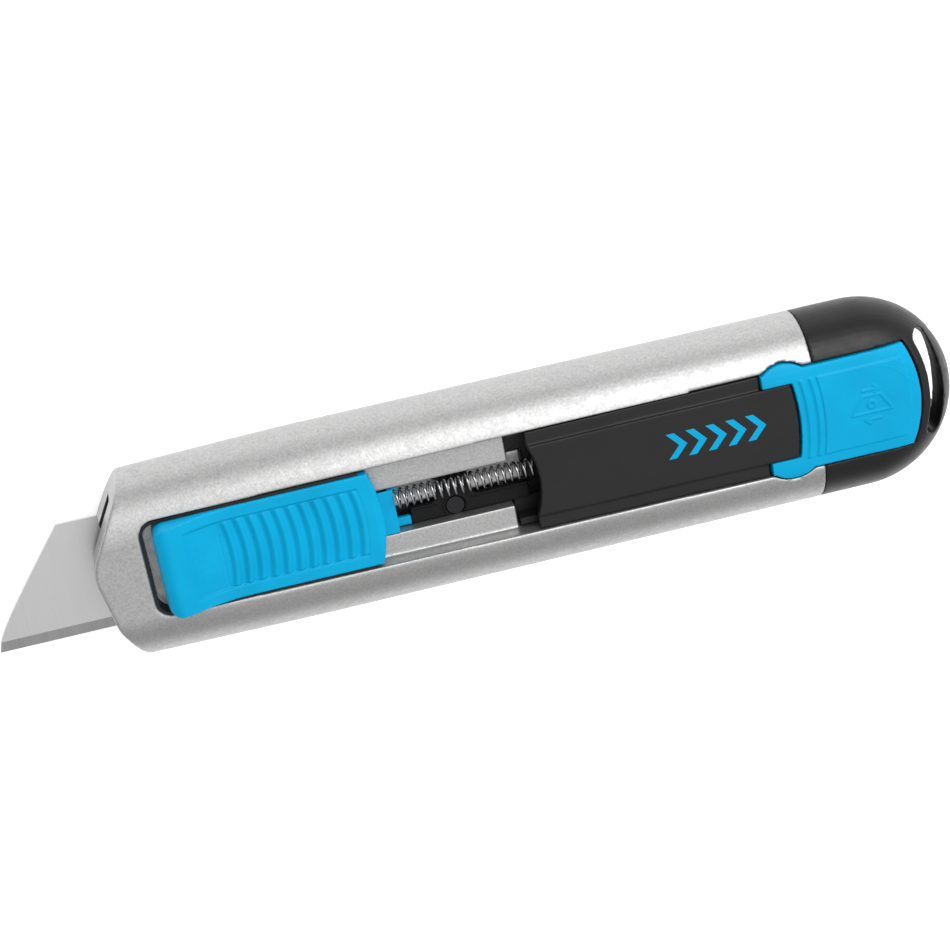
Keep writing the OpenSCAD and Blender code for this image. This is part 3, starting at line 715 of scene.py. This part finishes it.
def build_marks():
    """A row of printed chevrons in place of lettering."""
    tall, wide, reach, step, count = 2.1, 1.3, 1.9, 3.2, 5
    centre, middle = MARKS_AT
    vertices, faces = [], []
    for i in range(count):
        x = centre + (i - (count - 1) / 2) * step - (wide + reach) / 2
        corners = [(x, tall), (x + wide, tall), (x + wide + reach, 0),
                   (x + wide, -tall), (x, -tall), (x + reach, 0)]
        first = len(vertices)
        for z in (FACE - 0.05, FACE + 0.02):
            vertices += [(cx, middle + cy, z) for cx, cy in corners]
        n = len(corners)
        faces.append([first + n + k for k in range(n)][::-1])
        faces.append([first + k for k in range(n)])
        faces += [[first + k, first + n + k, first + n + (k + 1) % n, first + (k + 1) % n]
                  for k in range(n)]
    marks = make("cover_chevrons", vertices, faces)
    tidy_normals(marks)
    finish(marks, "cover_chevrons", "handle", BLUE)
    for polygon in marks.data.polygons:
        polygon.use_smooth = False


def build_blade():
    """A trapezoid blade with a ground edge; its ends curve up from the edge's corners."""
    low, high = blade_low, blade_high
    half_t = (high.z - low.z) / 2
    mid_z = (high.z + low.z) / 2
    slant, bevel, levels, bend = 13.0, 1.8, 30, 3.0
    heights = [low.y, low.y + bevel]
    heights += [low.y + bevel + (high.y - low.y - bevel) * i / levels for i in range(1, levels + 1)]
    rings = []
    for y in heights:
        inset = slant * (math.hypot(y - low.y, bend) - bend) / (math.hypot(high.y - low.y, bend) - bend)
        t = 0.03 if y == low.y else half_t
        left, right = low.x + inset, high.x - inset
        rings.append([(left + 0.15, y, mid_z - t), (right - 0.15, y, mid_z - t), (right, y, mid_z),
                      (right - 0.15, y, mid_z + t), (left + 0.15, y, mid_z + t), (left, y, mid_z)])
    body = loft("blade_plate", rings)
    tidy_normals(body)
    middle = (low.x + high.x) / 2
    for x in (middle - NOTCH_APART, middle + NOTCH_APART):
        notch = rounded([(x - 1.5, high.y + PAST, 0), (x - 1.5, high.y - 3, 1.4),
                         (x + 1.5, high.y - 3, 1.4), (x + 1.5, high.y + PAST, 0)])
        combine(body, [prism(notch, low.z - PAST, high.z + PAST)], "DIFFERENCE")
    finish(body, "blade_plate", "slider", BLADE_STEEL, ["blade"])
    body.data.materials.append(BEVEL_STEEL)
    ground = (low.y + bevel * 0.99) * MM
    for polygon in body.data.polygons:
        polygon.use_smooth = False
        if polygon.center.y < ground:
            polygon.material_index = 1


def wire(name, path, radius, sides=10):
    """A round wire along frames of (centre, outward, across)."""
    rings = []
    for centre, out, across in path:
        ring = []
        for k in range(sides):
            a = 2 * math.pi * k / sides
            ring.append(centre + radius * (math.cos(a) * out + math.sin(a) * across))
        rings.append(ring)
    obj = loft(name, rings)
    tidy_normals(obj)
    return obj


def build_return_spring():
    """A tension spring with a ring at each end, hooked on the two anchor pins."""
    radius, turns, steps = 0.225, 36, 28
    coil_r = (spring_high.y - spring_low.y) / 2 - radius
    y = (spring_high.y + spring_low.y) / 2
    z = (spring_high.z + spring_low.z) / 2
    hook = spring_low.x + coil_r + radius
    hook_end = spring_high.x - coil_r - radius
    start, stop = hook + 2.9, hook_end - 0.5
    up = Vector((0, 0, 1))

    def ring(x, first, last):
        frames = []
        for i in range(25):
            a = math.radians(first + (last - first) * i / 24)
            out = Vector((math.cos(a), math.sin(a), 0))
            frames.append((Vector((x, y, z)) + coil_r * out, out, up))
        return frames

    side = Vector((0, 1, 0))
    bend = Vector((-1, 0, 1)).normalized()
    path = ring(hook, 390, 90)
    path.append((Vector((start - 0.25, y + coil_r, z)), side, bend))
    for i in range(turns * steps + 1):
        a = 2 * math.pi * i / steps
        out = Vector((0, math.cos(a), math.sin(a)))
        x = start + (stop - start) * i / (turns * steps)
        path.append((Vector((x, y, z)) + coil_r * out, out, Vector((-1, 0, 0))))
    path.append((Vector((stop + 0.12, y + coil_r, z)), side, bend))
    path += ring(hook_end, 90, -210)
    coil = wire("return_spring_coil", path, radius)
    finish(coil, "return_spring_coil", "handle", SPRING_STEEL, ["return_spring"])
    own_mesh(coil)


def build_drive_plate():
    """The black plate behind the slider, with raised rims and a screw boss."""
    low, high = plate_low, plate_high
    screw_low, screw_high = span("plate_screw")
    sx = (screw_low.x + screw_high.x) / 2
    sy = (screw_low.y + screw_high.y) / 2
    half = 2.7
    edge = SHELF_Y - 0.3
    plan = rounded([(low.x, low.y, 0), (high.x, low.y, 0), (high.x, edge, 0),
                    (sx + half, edge, 1.2), (sx + half, high.y, 0),
                    (sx - half, high.y, 0), (sx - half, edge, 1.2), (low.x, edge, 0)])
    body = prism(plan, low.z, high.z, "drive_plate_shell")
    combine(body, [post(sx, sy, 1.5, low.z + 0.45, high.z + PAST)], "DIFFERENCE")
    soften(body, 0.11, 3)

    def rim(x, y):
        boss = math.exp(-((math.hypot(x - sx, y - sy) - 1.8) / 0.2) ** 2)
        along = math.exp(-((y - edge + 0.25) / 0.16) ** 2) if abs(x - sx) > half else 0.0
        return 0.18 * boss + 0.14 * along

    lift(body, rim)
    finish(body, "drive_plate_shell", "slider", PLATE_BLACK, ["drive_plate"])


def dress_cad():
    """Materials for the CAD nodes that show as they are."""
    looks = {
        # The slide liner is a black plastic part, and its black beside the slider also paints the shadow
        # of the narrow gap there
        "slide_liner": BLACK, "spring_cassette": BLACK, "blade_carrier": BLACK, "carrier_lid": BLACK,
        "rear_spring_pin": PIN_STEEL, "front_spring_pin": PIN_STEEL, "latch_pin": PIN_STEEL,
        "cap_pins": PIN_STEEL, "lid_screws": PIN_STEEL, "blade_stud": PIN_STEEL,
        "plate_screw": DARK_STEEL, "stop_buffers": RUBBER, "latch_spring": SPRING_STEEL,
    }
    for node, material in looks.items():
        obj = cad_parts[node]
        if not obj.material_slots:
            obj.data.materials.append(material)
        for place in obj.material_slots:
            place.material = material


# ---------------------------------------------------------------- scene
# The studio is bright overhead and towards the spine and tail, and darker all round
KEY_FROM = (0.35, 0.25, 0.9)
SKY_BRIGHT = 1.5
SKY_DARK = 0.5


def build_camera():
    """A long lens above the spine side, rolled a little."""
    sc = bpy.context.scene
    data = bpy.data.cameras.new("camera")
    data.lens = 83.45
    data.sensor_width = 36.0
    data.clip_start = 0.01
    data.clip_end = 20.0
    camera = bpy.data.objects.new("camera", data)
    sc.collection.objects.link(camera)
    right = Vector((0.96845, -0.17280, 0.17955))
    up = Vector((0.22596, 0.91280, -0.34015))
    back = Vector((-0.10512, 0.37000, 0.92304))
    turn = Matrix((right, up, back)).transposed().to_4x4()
    place = Vector((-0.04497, 0.12876, 0.32790))
    camera.matrix_world = Matrix.Translation(place) @ turn
    sc.camera = camera


def area_light(name, place, target, size, power, colour=(1, 1, 1)):
    data = bpy.data.lights.new(name, "AREA")
    data.shape = "RECTANGLE"
    data.size, data.size_y = size
    data.energy = power
    data.color = colour
    light = bpy.data.objects.new(name, data)
    bpy.context.scene.collection.objects.link(light)
    light.location = place
    light.rotation_euler = (Vector(target) - Vector(place)).to_track_quat("-Z", "Y").to_euler()


def build_stage():
    """A pale floor, a sky that is bright overhead, and one soft light."""
    sc = bpy.context.scene
    sc.view_settings.view_transform = "Standard"
    world = bpy.data.worlds.new("studio")
    world.use_nodes = True
    tree = world.node_tree
    sky = tree.nodes["Background"]
    sky.inputs["Color"].default_value = (1, 1, 1, 1)
    place = tree.nodes.new("ShaderNodeTexCoord")
    towards = tree.nodes.new("ShaderNodeVectorMath")
    towards.operation = "DOT_PRODUCT"
    towards.inputs[1].default_value = Vector(KEY_FROM).normalized()
    tree.links.new(place.outputs["Generated"], towards.inputs[0])
    fade = tree.nodes.new("ShaderNodeMapRange")
    fade.interpolation_type = "SMOOTHSTEP"
    limits = (math.cos(math.radians(62)), math.cos(math.radians(22)), SKY_DARK, SKY_BRIGHT)
    for socket, value in zip(("From Min", "From Max", "To Min", "To Max"), limits):
        fade.inputs[socket].default_value = value
    tree.links.new(towards.outputs["Value"], fade.inputs["Value"])
    tree.links.new(fade.outputs["Result"], sky.inputs["Strength"])
    sc.world = world
    size = 3.0
    corners = [(-size, -size, 0), (size, -size, 0), (size, size, 0), (-size, size, 0)]
    floor = make("floor", corners, [[0, 1, 2, 3]])
    floor.location.z = -0.0002
    pale = Shader("floor_pale", (0.97, 0.97, 0.97), 0.9)
    pale.tint(pale.noise(30, 2), 0.995, 1.0)
    pale.set("Emission Color", (1, 1, 1, 1))
    pale.set("Emission Strength", 0.36)
    floor.data.materials.append(pale.material)
    area_light("key", (0.22, 0.34, 0.46), (0.03, 0, 0), (0.4, 0.3), 1.9)


build_camera()
build_stage()
dress_cad()
build_housing()
build_cap()
build_slider()
build_latch()
build_cover()
build_marks()
build_blade()
build_return_spring()
build_drive_plate()
